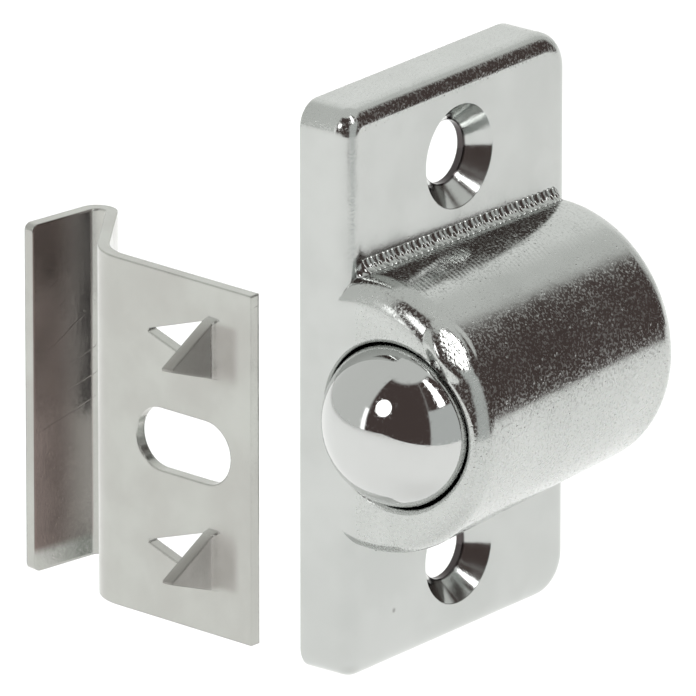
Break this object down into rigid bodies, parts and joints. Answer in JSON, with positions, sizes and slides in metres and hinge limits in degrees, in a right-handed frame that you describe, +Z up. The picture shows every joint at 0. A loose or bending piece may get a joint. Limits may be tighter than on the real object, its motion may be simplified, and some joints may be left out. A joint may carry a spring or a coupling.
{
  "type": "ball catch",
  "caption": "Surface-mounted ball catch: a drawn half-round housing on a screw plate holds a sprung ball, with a folded claw strike plate.",
  "frame": {"origin": "centre of the housing's mounting plane, midway between its two screw holes", "axes": "+X along the barrel away from the ball's end, +Y back into the door the housing is screwed to, +Z up along the line of the screws"},
  "size_m": [0.0421, 0.0296, 0.04],
  "materials": {
    "housing_nickel": "bright nickel plate",
    "strike_nickel": "satin nickel plate",
    "ball_steel": "polished",
    "spring_steel": "drawn wire",
    "cup_plastic": "moulded",
    "guide_plastic": "moulded"
  },
  "bodies": {
    "housing": {"housing": "housing_nickel", "guide": "guide_plastic", "spring": "spring_steel", "strike": "strike_nickel"},
    "plunger": {"spring_cup": "cup_plastic"},
    "ball": {"ball": "ball_steel"}
  },
  "joints": [
    {"name": "ball_press", "type": "slide", "parent": "housing", "child": "plunger", "axis": [1, 0, 0], "range_m": [0, 0.0038], "stiffness_N_per_m": 1500, "springref_m": -0.005, "deforming": ["spring"]},
    {"name": "ball_roll", "type": "hinge", "parent": "plunger", "child": "ball", "pos_m": [-0.0103, -0.0078, -0.00095], "axis": [0, 0, 1], "continuous": true}
  ]
}
